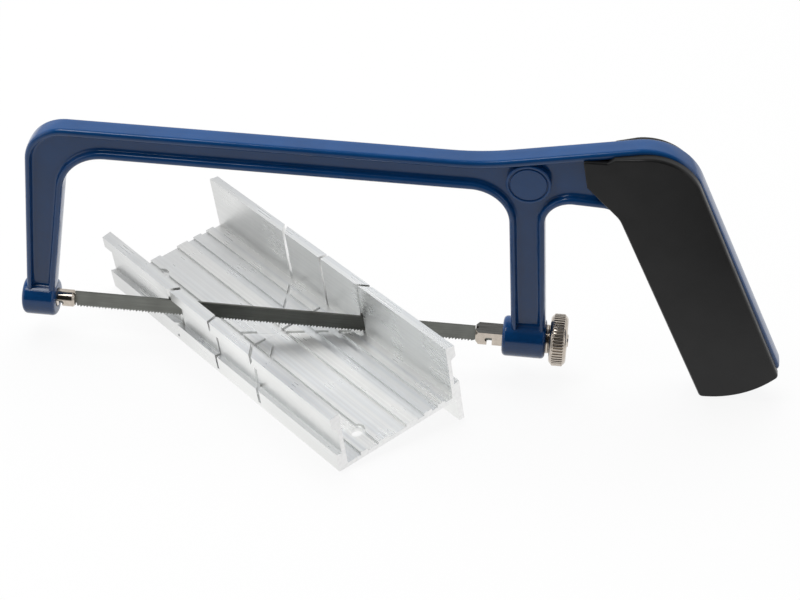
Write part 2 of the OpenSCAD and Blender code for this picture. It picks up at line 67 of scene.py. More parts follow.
# Corners of the frame and of the grips in the blade's plane, from the blade's middle:
# distance along the blade, height over the blade's axis, rounding and degrees to a step of the rounding.
FRAME_CORNERS = (
    (-83.75, 0, 0, 30), (-74.45, 0, 0, 30), (-64.82, 60.8, 15, 5), (76.457, 60.8, 12.5, 5),
    (79.75, 0, 0, 30), (91.15, 0, 0, 30), (87.982, 58.5, 8.2, 6), (110.882, 57.4, 8.2, 6),
    (142.358, -12.312, 1.6, 15), (157.199, -11.646, 30.36, 6), (167.92, -0.77, 1.6, 15),
    (129.693, 83.902, 19, 5), (67.5, 71.7, 95, 1.5), (-77.099, 71.7, 14, 5),
)
GRIP_CORNERS = (
    (100.75, 66.2, 0.6, 20), (111.6, 55.8, 9, 5), (142.852, -13.406, 1.6, 12),
    (157.009, -13.048, 30.36, 4), (167.504, -2.274, 1.6, 12), (129.926, 82.418, 17.5, 4),
    (108.316, 78.179, 1.5, 10), (106.4, 76.4, 1, 10), (99.0, 75.9, 0.6, 20),
)
FAR_GRIP_CORNERS = (
    *GRIP_CORNERS[:4], (166.639, -2.665, 1.6, 12), (128.361, 82.112, 17.5, 4), *GRIP_CORNERS[6:],
)

# The stretch of the box's length over which painted shade darkens its metal towards the far end.
PAINTED_SHADE_STRETCH = (-60, 20)

# The frame's section: the strip of web inside its rounding, and the soft inner edge of the rim.
WEB_STRIP = 0.1
LIP, LIP_RISE, LIP_WIDER = 0.5, 1.0, 0.1

# The bosses: their rounded ends as distance from the end and radius, and where they lie along the blade.
# The front stud sits in a bore. The rear boss is a little wider and higher, and the rear holder slides
# in its slot.
BOSS_END = ((0, 2.0), (0, 5.05), (0.18, 5.65), (0.5, 6.03), (0.9, 6.25), (1.3, 6.35))
FRONT_BOSS = (-84.75, -73.65)
FRONT_BORE = ((-73.65, 3.4), (-73.95, 2.95), (-80, 2.95))
FRONT_RADIUS = 6.35
FRONT_FILLET = (-82.4, -74.2)
REAR_BOSS = (76.85, 91.15)
REAR_WIDER = 0.35
REAR_RADIUS = 6.7
REAR_RISE = 0.3
REAR_FILLET = (80.4, 90.0)
REAR_SLOT = ((75, -2.92, -2.27), (93, 2.92, 2.87))

# The rounding between a boss and the web: its radius, its steps, the height of the web's face that it
# runs into, and its corners inside the casting.
FILLET = 1.8
FILLET_STEPS = 8
FILLET_WEB = 1.27
FILLET_INSIDE = ((0.8, 3.0), (2.0, 3.0))

# The round pad: height over the saw's middle and radius, and where its middle is.
PAD = (
    (1.0, 7.1), (3.15, 7.1), (3.32, 7.06), (3.45, 6.95), (3.5, 6.8), (3.5, 6.42), (3.45, 6.28), (3.3, 6.2),
    (3.12, 6.16), (3.04, 6.0), (3.04, 5.92), (3.12, 5.78), (3.32, 5.73), (3.46, 5.66), (3.5, 5.5),
)
PAD_AT = (82.65, 0, 64.8)

# The grips: height where they start over the frame, where their rounded edge starts, that rounding and
# the degrees of its points.
GRIP_BASE = 3.68
GRIP_SIDE = 5.5
GRIP_ROUND = 1.4
GRIP_TURNS = range(0, 56, 11)

# A grip's tongue: where it starts to thin, over what length, and the share that its tip loses.
TONGUE_FROM = 116
TONGUE_LENGTH = 14
TONGUE_LOSS = 0.65

# The filler under a grip: its heights, its distance inside the grip, and its distance inside the frame,
# with some more along the bar.
FILLER = (1.33, 4.4)
FILLER_INSET = 0.1
RECESS = 2.15
RECESS_FLAT = 0.85

# The nut and the washer: where they start along the blade, their lengths, and their sections.
# A section gives distance along the blade, radius and, for the nut, the share of the grooves' depth.
# The nut has some points to a ridge, and each side of a groove takes a share of the ridges' pitch.
NUT_FROM = 92.13
NUT_LENGTH = 6.3
NUT_FACE = ((0.3, 2.46, 0), (0, 2.8, 0), (0, 4.6, 0), (0.06, 4.75, 0), (0.2, 4.8, 0), (0.3, 4.8, 0))
NUT_EDGE = (
    (0.3, 6.75, 0), (0.32, 7.05, 0), (0.42, 7.4, 0), (0.8, 7.9, 0), (1.08, 8.15, 0), (1.2, 8.2, 0),
    (1.26, 8.31, 0.25), (1.4, 8.53, 0.75), (1.6, 8.65, 1),
)
NUT_BACK = ((6.0, 3.1, 0), (5.7, 2.46, 0))
NUT_STEPS = 8
GROOVE_SHARE = 0.22
WASHER_FROM = 91.18
WASHER_LENGTH = 0.9
WASHER_EDGE = ((0.2, 2.65), (0, 2.85), (0, 4.6), (0.06, 4.75), (0.2, 4.8))

# Teeth: where the first one starts along the blade, their pitch, heights on them, and the heights between
# which their bare steel ends.
TEETH_START = -67.35
TOOTH_PITCH = 1.06
TOOTH_ROOT = -2.25
TOOTH_FOOT = -2.5
TOOTH_GULLET = -2.42
TOOTH_TIP = -3.0
BARE_HEIGHTS = (-2.75, -2.45)

# The rear tab: where it starts, the lower edge in the model, and the lower edge that shows in the hook.
TEETH_END = 67.8
TAB_LOW = -1.5
REAR_TAB = -2.4

# The stage, in metres. The room's levels go by degrees from the horizon behind, overhead, to the one in
# front, and its side walls by how far a direction points sideways. For glossy pieces the floor's glow
# falls in front of the part and under the handle: a fall gives two shares, and the two places along an
# axis that have them.
FLOOR_SIZE = 8
FLOOR_DROP = 0.0002
FLOOR_GLOW = 0.9
FLOOR_DIM = 0.42
FALL_FRONT = (0.95, 0.0, -0.36, -0.02)
FALL_SIDE = (0, 0.9, 0.075, 0.11)
FALL_NEAR = (1, 0, -0.085, -0.03)
ROOM = (
    (0, 0.5), (14, 0.75), (30, 0.85), (38, 0.74), (43, 0.8), (46, 0.98), (49, 1.0), (58, 1.0), (66, 0.4),
    (80, 0.2), (122, 0.12), (134, 0.02), (180, 0.02),
)
WALLS = ((0.62, 0.85), (-0.5, -0.8))
LAMP_AIM = (0, 0, 0.03)
CAMERA_AT = (0.06475, -0.58383, 0.39072)
CAMERA_TURN = (58.0311, -1.3841, 7.085)
SENSOR = 36

# Tolerances: metres within which points are one, the angle within which faces are one, the cosine of a
# straight corner, slack in the count of steps, and the least rounding of an inset corner.
SAME_POINT = 1e-7
SAME_CORNER = 1e-6
SAME_FACE = math.radians(0.5)
STRAIGHT = 0.9999
STEP_SLACK = 0.01
LEAST_ROUNDING = 0.2


def middle(node):
    """Middle of a CAD node's box."""
    low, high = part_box(node)
    return (low + high) / 2


def saw_place():
    """Where the saw stands: the blade's middle is half way between its pins, and the saw leans."""
    at = (middle("front_blade_pin") + middle("rear_blade_pin")) / 2
    return Matrix.Translation(at) @ Matrix.Rotation(LEAN, 4, "X")


def box_place():
    """Where the box stands: its guide slots cross under the blade, and the box is turned and tilted."""
    crossing = saw_place() @ Vector([c * MM for c in CROSSING])
    return Matrix.Translation(crossing) @ Matrix.Rotation(YAW, 4, "Z") @ Matrix.Rotation(TILT, 4, "X")


SAW = saw_place()
BOX = box_place()
RISE = Matrix.Translation((0, 0, REAR_RISE * MM))


# Outlines, as lists of corners that run anticlockwise.

def corner_arc(a, b, c, radius, step):
    """Points of the arc that rounds the corner b between a and c."""
    to_a, to_c = (a - b).normalized(), (c - b).normalized()
    half = math.acos(max(-1, min(1, to_a.dot(to_c)))) / 2
    centre = b + (to_a + to_c).normalized() * (radius / math.sin(half))
    start = b + to_a * (radius / math.tan(half)) - centre
    side = (b - a).x * (c - b).y - (b - a).y * (c - b).x
    swing = math.copysign(math.pi - 2 * half, side)
    count = max(1, math.ceil(math.degrees(abs(swing)) / step - STEP_SLACK))
    first = math.atan2(start.y, start.x)
    angles = [first + swing * i / count for i in range(count + 1)]
    return [centre + radius * Vector((math.cos(t), math.sin(t))) for t in angles]


def corners_of(path):
    """Each corner of an outline: the corner before it, itself, the one after it, rounding and step."""
    for i, (x, z, radius, step) in enumerate(path):
        a, b, c = (Vector(p[:2]) for p in (path[i - 1], (x, z), path[(i + 1) % len(path)]))
        yield a, b, c, radius, step


def rounded(path):
    """The outline's points, in the plane, with its corners rounded."""
    points = []
    for a, b, c, radius, step in corners_of(path):
        points += corner_arc(a, b, c, radius, step) if radius > 0 else [b]
    return points


def inset(path, distance, flat=0.0):
    """The outline with every side moved inwards by a distance, and sides that lie flat by some more."""
    moved = []
    for a, b, c, radius, step in corners_of(path):
        d, e = (b - a).normalized(), (c - b).normalized()
        p, q = Vector((-d.y, d.x)), Vector((-e.y, e.x))
        first, second = (distance + (flat if abs(way.x) > abs(way.y) else 0) for way in (d, e))
        turn = p.dot(q)
        if turn > STRAIGHT:
            at = b + p * first
        else:
            at = b + (p * (first - turn * second) + q * (second - turn * first)) / (1 - turn * turn)
        if radius > 0:
            side = math.copysign(1, d.x * e.y - d.y * e.x)
            radius = max(LEAST_ROUNDING, radius - side * (first + second) / 2)
        moved.append((at.x, at.y, radius, step))
    return moved


def plate_ring(corners, distance, y, flat=0.0):
    """A ring of points in the blade's plane, moved inwards and across the blade."""
    return [Vector((p.x, y, p.y)) * MM for p in rounded(inset(corners, distance, flat))]


def round_ring(x, radius, sides, grooves=0, depth=0.0):
    """A ring of points round the blade's axis, with flat ridges between sharp grooves if it has them."""
    points = []
    for i in range(sides):
        turn = 2 * math.pi * i / sides
        share = (i * grooves / sides) % 1.0
        ridge = min(1.0, min(share, 1 - share) / GROOVE_SHARE) if grooves else 1.0
        reach = radius - depth * (1 - ridge)
        points.append(Vector((x, reach * math.cos(turn), reach * math.sin(turn))) * MM)
    return points


def mirrored(edge, length):
    """A section's edge at the other end of a piece."""
    return tuple((length - x, *rest) for x, *rest in reversed(edge))


# Modelling.

def deselect():
    """Leaves edit mode and selects nothing."""
    if bpy.context.object and bpy.context.object.mode != "OBJECT":
        bpy.ops.object.mode_set(mode="OBJECT")
    bpy.ops.object.select_all(action="DESELECT")


def take(piece):
    """Makes a piece the only selected one."""
    deselect()
    piece.select_set(True)
    bpy.context.view_layer.objects.active = piece


def put_ring(face, old, new):
    """Moves a face's corners, which still lie on the old ring, to the new ring."""
    verts = list(face.verts)
    count = len(verts)
    k = min(range(count), key=lambda i: (verts[i].co - old[0]).length)
    ahead, behind = verts[(k + 1) % count].co, verts[k - 1].co
    way = 1 if (ahead - old[1]).length < (behind - old[1]).length else -1
    for i, point in enumerate(new):
        verts[(k + way * i) % count].co = point


def loft(name, rings, tube=False):
    """A disc with the first ring's outline, extruded through the others. A tube returns to its start."""
    deselect()
    bpy.ops.mesh.primitive_circle_add(vertices=len(rings[0]), fill_type="NGON")
    piece = bpy.context.object
    piece.name = piece.data.name = name
    for vertex, point in zip(piece.data.vertices, rings[0]):
        vertex.co = point
    bpy.ops.object.mode_set(mode="EDIT")
    bpy.ops.mesh.select_all(action="SELECT")
    last = rings[0]
    for ring in rings[1:] + ([rings[0]] if tube else []):
        bpy.ops.mesh.extrude_region_move()
        edit = bmesh.from_edit_mesh(piece.data)
        put_ring(next(f for f in edit.faces if f.select), last, ring)
        last = ring
    if tube:
        edit = bmesh.from_edit_mesh(piece.data)
        for f in edit.faces:
            f.select_set(len(f.verts) == len(rings[0]))
        bpy.ops.mesh.delete(type="ONLY_FACE")
    bpy.ops.mesh.select_all(action="SELECT")
    bpy.ops.mesh.remove_doubles(threshold=SAME_POINT)
    bpy.ops.mesh.normals_make_consistent(inside=False)
    bpy.ops.object.mode_set(mode="OBJECT")
    return piece


def turned(name, profile, sides=96, tube=False):
    """A turned piece along the blade. Its profile is a list of (distance along the blade, radius)."""
    return loft(name, [round_ring(x, radius, sides) for x, radius in profile], tube)


def block(name, low, high):
    """A block between two corners."""
    deselect()
    bpy.ops.mesh.primitive_cube_add(size=1)
    piece = bpy.context.object
    piece.name = name
    for v in piece.data.vertices:
        v.co = Vector([(b if c > 0 else a) * MM for a, b, c in zip(low, high, v.co)])
    return piece


def combine(piece, other, operation):
    """Joins another piece to this one, cuts it out of it, or keeps what they share."""
    take(piece)
    change = piece.modifiers.new("combine", "BOOLEAN")
    change.operation = operation
    change.object = other
    change.solver = "EXACT"
    bpy.ops.object.modifier_apply(modifier=change.name)
    bpy.data.objects.remove(other)


def place(piece, matrix):
    """Puts a piece where it stands. Its place goes into its mesh."""
    take(piece)
    piece.matrix_world = matrix
    bpy.ops.object.transform_apply(location=True, rotation=True, scale=True)


def smooth(piece, degrees):
    """Shades a piece smooth up to an angle, and keeps its flat faces flat."""
    take(piece)
    bpy.ops.object.shade_smooth_by_angle(angle=math.radians(degrees), keep_sharp_edges=False)
    flat = piece.modifiers.new("flat faces", "WEIGHTED_NORMAL")
    flat.weight = 100
    flat.keep_sharp = True
    bpy.ops.object.modifier_apply(modifier=flat.name)


def copy_of(node, name):
    """A merged copy of a CAD node's mesh, whose flat faces are whole again."""
    piece = bpy.data.objects.new(name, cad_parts[node].data.copy())
    bpy.context.scene.collection.objects.link(piece)
    piece.data.materials.clear()
    take(piece)
    bpy.ops.mesh.customdata_custom_splitnormals_clear()
    bpy.ops.object.mode_set(mode="EDIT")
    bpy.ops.mesh.select_all(action="SELECT")
    bpy.ops.mesh.remove_doubles(threshold=SAME_CORNER)
    bpy.ops.mesh.dissolve_limited(angle_limit=SAME_FACE)
    bpy.ops.object.mode_set(mode="OBJECT")
    return piece


def soften(piece, width, segments, degrees):
    """Bevels the edges that are sharper than an angle."""
    take(piece)
    bevel = piece.modifiers.new("soft edges", "BEVEL")
    bevel.width = width
    bevel.segments = segments
    bevel.limit_method = "ANGLE"
    bevel.angle_limit = math.radians(degrees)
    bevel.use_clamp_overlap = True
    bpy.ops.object.modifier_apply(modifier=bevel.name)


def hand_over(piece, body, node, material):
    """Gives a finished piece its material and its body, and hides the CAD node that it stands for."""
    piece.data.materials.clear()
    piece.data.materials.append(material)
    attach(piece, body)
    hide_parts(node)


# Materials. Patterns read Object coordinates, turned into the saw's or the box's own frame.
# Their scales are waves to a metre, and the depths of their bumps are metres.

class Finish:
    """A material under construction."""

    def __init__(self, name):
        self.material = bpy.data.materials.new(name)
        self.material.use_nodes = True
        self.tree = self.material.node_tree
        self.shader = self.tree.nodes["Principled BSDF"]

    def node(self, kind, **settings):
        """A new node with its settings."""
        made = self.tree.nodes.new(kind)
        for key, value in settings.items():
            setattr(made, key, value)
        return made

    def link(self, source, target):
        """Joins two sockets."""
        self.tree.links.new(source, target)

    def give(self, name, source):
        """Lets a pattern drive one of the shader's sockets."""
        self.link(source, self.shader.inputs[name])

    def socket(self, name, value):
        """Gives one of the shader's sockets a plain value."""
        self.shader.inputs[name].default_value = value

    def local(self, matrix):
        """Object coordinates in a piece's own frame."""
        coords = self.node("ShaderNodeTexCoord")
        mapping = self.node("ShaderNodeMapping", vector_type="TEXTURE")
        mapping.inputs["Location"].default_value = matrix.to_translation()
        mapping.inputs["Rotation"].default_value = matrix.to_euler("XYZ")
        self.link(coords.outputs["Object"], mapping.inputs["Vector"])
        return mapping.outputs["Vector"]

    def axes(self, vector):
        """The three parts of a coordinate."""
        split = self.node("ShaderNodeSeparateXYZ")
        self.link(vector, split.inputs["Vector"])
        return split.outputs

    def noise(self, vector, scale, detail):
        """Cloudy noise."""
        made = self.node("ShaderNodeTexNoise")
        made.inputs["Scale"].default_value = scale
        made.inputs["Detail"].default_value = detail
        self.link(vector, made.inputs["Vector"])
        return made.outputs["Fac"]

    def streaks(self, vector, scales, detail):
        """Noise with a different scale along each axis."""
        mapping = self.node("ShaderNodeMapping")
        mapping.inputs["Scale"].default_value = scales
        self.link(vector, mapping.inputs["Vector"])
        return self.noise(mapping.outputs["Vector"], scale=1, detail=detail)

    def spread(self, value, low, high, from_low=0.35, from_high=0.65):
        """A pattern's value, spread between two values."""
        made = self.node("ShaderNodeMapRange")
        self.link(value, made.inputs["Value"])
        names = ("From Min", "From Max", "To Min", "To Max")
        for name, number in zip(names, (from_low, from_high, low, high)):
            made.inputs[name].default_value = number
        return made.outputs["Result"]

    def math(self, operation, a, b):
        """The result of an operation on two values, which are numbers or sockets."""
        made = self.node("ShaderNodeMath", operation=operation)
        for socket, value in zip(made.inputs, (a, b)):
            if isinstance(value, (int, float)):
                socket.default_value = value
            else:
                self.link(value, socket)
        return made.outputs["Value"]

    def facing(self, matrix, way, low, high):
        """1 on the faces that look along one of a piece's own ways, or back along it, and 0 elsewhere."""
        coords = self.node("ShaderNodeTexCoord")
        along = self.node("ShaderNodeVectorMath", operation="DOT_PRODUCT")
        along.inputs[1].default_value = matrix.to_3x3() @ Vector(way)
        self.link(coords.outputs["Normal"], along.inputs[0])
        return self.spread(self.math("ABSOLUTE", along.outputs["Value"], 0.0), 0, 1, low, high)

    def blend(self, factor, a, b):
        """A colour between two colours, which are plain values or sockets."""
        made = self.node("ShaderNodeMix", data_type="RGBA")
        self.link(factor, made.inputs["Factor"])
        for name, value in (("A", a), ("B", b)):
            socket = next(s for s in made.inputs if s.name == name and s.type == "RGBA")
            if hasattr(value, "__len__"):
                socket.default_value = (*value[:3], 1)
            else:
                self.link(value, socket)
        return next(s for s in made.outputs if s.type == "RGBA")

    def bump(self, height, strength, depth, under=None):
        """Bumps, on top of others where there are some."""
        made = self.node("ShaderNodeBump")
        made.inputs["Strength"].default_value = strength
        made.inputs["Distance"].default_value = depth
        self.link(height, made.inputs["Height"])
        if under:
            self.link(under, made.inputs["Normal"])
        return made.outputs["Normal"]


def shade(colour, share):
    """A colour made lighter or darker."""
    return tuple(c * share for c in colour[:3])


def blue_enamel(colour):
    """Glossy enamel on a casting: dressing lines along its edges, fine orange peel and an uneven coat."""
    f = Finish("blue enamel")
    at = f.local(SAW)
    cloud = f.spread(f.noise(at, scale=60, detail=3), 0, 1)
    f.give("Base Color", f.blend(cloud, shade(colour, 0.92), shade(colour, 1.08)))
    f.give("Roughness", f.spread(f.noise(at, scale=500, detail=3), low=0.1, high=0.19))
    f.socket("IOR", 1.5)
    dressed = f.bump(f.streaks(at, (25, 2600, 25), detail=3), strength=0.25, depth=0.00008)
    f.give("Normal", f.bump(f.noise(at, scale=1100, detail=2), strength=0.1, depth=0.00006, under=dressed))
    return f.material


def black_plastic(colour):
    """Satin moulded plastic with a fine spark grain."""
    f = Finish("black plastic")
    at = f.local(SAW)
    cloud = f.spread(f.noise(at, scale=90, detail=4), 0, 1)
    f.give("Base Color", f.blend(cloud, shade(colour, 0.85), shade(colour, 1.2)))
    f.give("Roughness", f.spread(f.noise(at, scale=140, detail=4), low=0.3, high=0.4))
    f.socket("Specular IOR Level", 0.32)
    f.give("Normal", f.bump(f.noise(at, scale=5200, detail=2), strength=0.25, depth=0.00006))
    return f.material


def plated_tone(f, at, colour):
    """The colour of plated steel, with small dull patches."""
    patches = f.spread(f.noise(at, scale=700, detail=4), 0, 1)
    return f.blend(patches, shade(colour, 0.92), shade(colour, 1.06))


def nickel_plate(colour):
    """Bright nickel plate on turned steel, with fine tool marks round the axis and small dull patches."""
    f = Finish("nickel plate")
    at = f.local(SAW)
    f.socket("Metallic", 1.0)
    f.give("Base Color", plated_tone(f, at, colour))
    f.give("Roughness", f.spread(f.noise(at, scale=420, detail=4), low=0.12, high=0.22))
    f.give("Normal", f.bump(f.streaks(at, (9000, 300, 300), detail=2), strength=0.08, depth=0.00005))
    return f.material


def brushed_bar(colour, dull):
    """Plated flat bar: bright sides, and faces above and below darkened by painted shade, with brush lines
    along them.
    """
    f = Finish("brushed bar")
    at = f.local(SAW)
    f.socket("Metallic", 1.0)
    lines = f.streaks(at, (150, 5000, 5000), detail=3)
    # Painted shade: the faces above and below take the dark colour, with the brush lines in it.
    flat = f.facing(SAW, (0, 0, 1), 0.85, 0.95)
    dark = f.blend(f.spread(lines, 0, 1), shade(dull, 0.7), shade(dull, 1.3))
    f.give("Base Color", f.blend(flat, plated_tone(f, at, colour), dark))
    f.give("Roughness", f.spread(lines, low=0.16, high=0.3))
    f.give("Normal", f.bump(lines, strength=0.15, depth=0.00004))
    return f.material


def blade_steel(colour, bare):
    """Dark hardened blade steel with grinding lines along it. The teeth are ground bare."""
    f = Finish("blade steel")
    at = f.local(SAW)
    f.socket("Metallic", 1.0)
    lines = f.streaks(at, (60, 900, 6000), detail=3)
    cloud = f.noise(at, scale=120, detail=4)
    tone = f.blend(f.spread(lines, 0, 1), shade(colour, 0.86), shade(colour, 1.14))
    tone = f.blend(f.spread(cloud, 0, 0.35), tone, shade(colour, 0.8))
    teeth = f.spread(f.axes(at)["Z"], 1, 0, *(height * MM for height in BARE_HEIGHTS))
    f.give("Base Color", f.blend(teeth, tone, bare))
    f.give("Roughness", f.spread(cloud, low=0.36, high=0.5))
    f.give("Normal", f.bump(lines, strength=0.12, depth=0.00004))
    return f.material


def mill_aluminium(colour, sawn):
    """Extruded aluminium from the die: lines along its length, walls painted lighter, a far end darkened
    by painted shade, and pale sawn ends.
    """
    f = Finish("mill aluminium")
    at = f.local(BOX)
    fine = f.streaks(at, (1.5, 1300, 1300), detail=2)
    broad = f.streaks(at, (1.0, 300, 300), detail=2)
    cloud = f.noise(at, scale=70, detail=4)
    end = f.facing(BOX, (1, 0, 0), 0.9, 0.97)
    level = f.facing(BOX, (0, 0, 1), 0.6, 0.9)
    cool = (colour[0] * 0.88, colour[1] * 0.91, colour[2] * 0.94)
    warm = (colour[0] * 1.07, colour[1] * 1.07, colour[2] * 1.05)
    # Broad bands along the length on level faces, and painted light: the walls take the lighter, warm tone
    # all over.
    bands_and_lit_walls = f.math("MAXIMUM", f.spread(broad, 0, 1), f.spread(level, 0.9, 0.0, 0, 1))
    tone = f.blend(bands_and_lit_walls, cool, warm)
    lines = f.math("MULTIPLY", f.spread(fine, 0, 0.5), f.spread(level, 0.3, 1.0, 0, 1))
    tone = f.blend(lines, tone, shade(colour, 0.84))
    # Painted shade: the metal darkens towards the box's far end.
    painted_shade = f.spread(f.axes(at)["X"], 0.55, 0.0, *(x * MM for x in PAINTED_SHADE_STRETCH))
    tone = f.blend(painted_shade, tone, shade(colour, 0.55))
    mottled = f.blend(f.spread(f.noise(at, scale=900, detail=4), 0, 1), shade(sawn, 0.93), sawn)
    f.give("Base Color", f.blend(end, tone, mottled))
    f.give("Metallic", f.spread(level, 1.0, 0.65, 0, 1))
    rough = f.math("ADD", f.spread(cloud, 0.24, 0.36), f.spread(fine, 0.0, 0.06))
    f.give("Roughness", f.math("MAXIMUM", rough, f.math("MULTIPLY", end, 0.4)))
    drawn = f.bump(f.streaks(at, (2, 1500, 1500), detail=1), strength=0.3, depth=0.00002)
    saw_marks = f.math("MULTIPLY", f.streaks(at, (500, 500, 5000), detail=3), end)
    f.give("Normal", f.bump(saw_marks, strength=0.4, depth=0.0001, under=drawn))
    return f.material


# Sizes and colours that a user would change.

class FrameSettings(bpy.types.PropertyGroup):
    """The cast frame."""
    thickness: FloatProperty(
        name="Thickness", description="Thickness of the frame over its rims, in mm", default=7.3)
    web: FloatProperty(
        name="Web", description="Thickness of the recessed web, in mm", default=2.6)
    rim: FloatProperty(
        name="Rim", description="Width of the raised rim on the arms, in mm", default=2.0)
    wider: FloatProperty(
        name="Wider", description="Further width of the rim along the bar, in mm", default=0.85)
    edge: FloatProperty(
        name="Edge", description="Rounding of the outer edges, in mm", default=1.35)
    slope: FloatProperty(
        name="Slope", description="Slope of the crowned outer faces at their edges",
        subtype="ANGLE", default=math.radians(5))
    fillet: FloatProperty(
        name="Fillet", description="Height of the rounding between the web and the rim, in mm",
        default=1.0)
    reach: FloatProperty(
        name="Reach", description="Width of that rounding, in mm", default=1.2)
    colour: FloatVectorProperty(
        name="Enamel", description="Colour of the enamel", subtype="COLOR",
        default=(0.0045, 0.066, 0.225))


class GripSettings(bpy.types.PropertyGroup):
    """The two grips."""
    colour: FloatVectorProperty(
        name="Plastic", description="Colour of the grips", subtype="COLOR",
        default=(0.009, 0.009, 0.0093))


class MetalSettings(bpy.types.PropertyGroup):
    """The nut, the blade and all bare or plated metal."""
    ridges: IntProperty(
        name="Ridges", description="Number of ridges on the nut", default=50)
    ridge_depth: FloatProperty(
        name="Depth", description="Depth of the nut's grooves, in mm", default=0.45)
    set_width: FloatProperty(
        name="Set", description="Sideways set of the teeth, in mm", default=0.13)
    nickel: FloatVectorProperty(
        name="Nickel", description="Colour of the plated pieces", subtype="COLOR",
        default=(0.55, 0.49, 0.425))
    # Painted shade: the dark colour of the bar's faces above and below.
    dull: FloatVectorProperty(
        name="Dull faces", description="Colour of the bar's brushed faces", subtype="COLOR",
        default=(0.11, 0.11, 0.105))
    blade: FloatVectorProperty(
        name="Blade", description="Colour of the blade", subtype="COLOR",
        default=(0.168, 0.173, 0.159))
    bare: FloatVectorProperty(
        name="Bare steel", description="Colour of the ground teeth", subtype="COLOR",
        default=(0.2, 0.202, 0.19))
    aluminium: FloatVectorProperty(
        name="Aluminium", description="Colour of the box", subtype="COLOR",
        default=(0.91, 0.915, 0.915))
    sawn: FloatVectorProperty(
        name="Sawn ends", description="Colour of the sawn ends", subtype="COLOR",
        default=(0.97, 0.97, 0.965))


class StageSettings(bpy.types.PropertyGroup):
    """The camera and the floor."""
    lens: FloatProperty(
        name="Lens", description="Focal length of the camera, in mm", default=94.48)
    floor: FloatVectorProperty(
        name="Floor", description="Colour of the floor", subtype="COLOR",
        default=(0.9, 0.9, 0.9))


# Pieces.

class MITREBOX_OT_box(bpy.types.Operator):
    """Dresses the aluminium box."""
    bl_idname = "mitrebox.box"
    bl_label = "Mitre box"

    def execute(self, context):
        metal = context.scene.mitre_metal
        piece = copy_of("mitre_box", "aluminium_box")
        soften(piece, width=0.12 * MM, segments=2, degrees=35)
        smooth(piece, degrees=40)
        aluminium = mill_aluminium(metal.aluminium, metal.sawn)
        hand_over(piece, "box", "mitre_box", aluminium)
        return {"FINISHED"}


def sweep(centre, reach, rise, turn, steps, wider=(0.0, 0.0)):
    """Points of an arc in the frame's section: distance inside, height, and more inside along the bar."""
    points = []
    for i in range(steps + 1):
        t = math.radians(turn[0] + (turn[1] - turn[0]) * i / steps)
        inside, height = centre[0] + reach * math.cos(t), centre[1] + rise * math.sin(t)
        points.append((inside, height, wider[0] + wider[1] * math.cos(t)))
    return points


def frame_sections(s):
    """The frame's section from its web outwards, over the rim, to the middle of its crowned edge."""
    half, web = s.thickness / 2, s.web / 2
    shoulder = half - s.edge * (1 - math.sin(s.slope))
    radius = shoulder / math.sin(s.slope)
    fall = radius * (1 - math.cos(s.slope))
    slope = math.degrees(s.slope)
    foot = (s.rim + s.reach, web + s.fillet)
    lip = (s.rim - LIP, half - LIP_RISE)
    edge = (fall + s.edge * math.cos(s.slope), half - s.edge)
    section = [(s.rim + s.reach + WEB_STRIP, web, s.wider)]
    section += sweep(foot, s.reach, s.fillet, turn=(270, 180), steps=8, wider=(s.wider, 0))
    section += sweep(lip, LIP, LIP_RISE, turn=(0, 90), steps=6, wider=(LIP_WIDER, s.wider - LIP_WIDER))
    section += sweep(edge, s.edge, s.edge, turn=(90, 180 - slope), steps=8)
    return section + sweep((radius, 0), radius, radius, turn=(180 - slope, 180), steps=3)[1:]


def boss_fillet(name, ends, rise, radius, side):
    """A strip that rounds the corner between the web and the top of a boss."""
    y = FILLET_WEB + FILLET
    z = math.sqrt((radius + FILLET) ** 2 - y ** 2)
    first = math.atan2(-z, -y)
    turns = [first - (first + math.pi) * i / FILLET_STEPS for i in range(FILLET_STEPS + 1)]
    outline = [(y + FILLET * math.cos(t), z + FILLET * math.sin(t)) for t in turns]
    outline += [(FILLET_INSIDE[0][0], z), *FILLET_INSIDE]
    return loft(name, [[Vector((x, side * a, b + rise)) * MM for a, b in outline] for x in ends])


class MITREBOX_OT_frame(bpy.types.Operator):
    """Casts the saw's frame, with its bosses and its bare round pad."""
    bl_idname = "mitrebox.frame"
    bl_label = "Saw frame"

    def execute(self, context):
        s = context.scene.mitre_frame
        section = frame_sections(s)
        rings = [plate_ring(FRAME_CORNERS, d, -y, flat) for d, y, flat in section]
        rings += [plate_ring(FRAME_CORNERS, d, y, flat) for d, y, flat in reversed(section[:-1])]
        piece = loft("cast_frame", rings)
        front = [(FRONT_BOSS[0] + x, r) for x, r in BOSS_END]
        front += [(FRONT_BOSS[1] - x, r) for x, r in reversed(BOSS_END[1:])]
        combine(piece, turned("front_boss", front + list(FRONT_BORE)), "UNION")
        rear = [(REAR_BOSS[0] + x, r + REAR_WIDER) for x, r in BOSS_END]
        rear += [(REAR_BOSS[1] - x, r + REAR_WIDER) for x, r in reversed(BOSS_END)]
        rear = turned("rear_boss", rear)
        place(rear, RISE)
        combine(piece, rear, "UNION")
        for side in (-1, 1):
            fillet = boss_fillet("front_fillet", FRONT_FILLET, 0, FRONT_RADIUS, side)
            combine(piece, fillet, "UNION")
            fillet = boss_fillet("rear_fillet", REAR_FILLET, REAR_RISE, REAR_RADIUS, side)
            combine(piece, fillet, "UNION")
            pad = turned("pad", PAD)
            at = Matrix.Translation(Vector(PAD_AT) * MM)
            place(pad, at @ Matrix.Rotation(side * math.pi / 2, 4, "Z"))
            combine(piece, pad, "UNION")
        combine(piece, block("slot", *REAR_SLOT), "DIFFERENCE")
        place(piece, SAW)
        smooth(piece, degrees=32)
        hand_over(piece, "saw", "saw_frame", blue_enamel(s.colour))
        return {"FINISHED"}


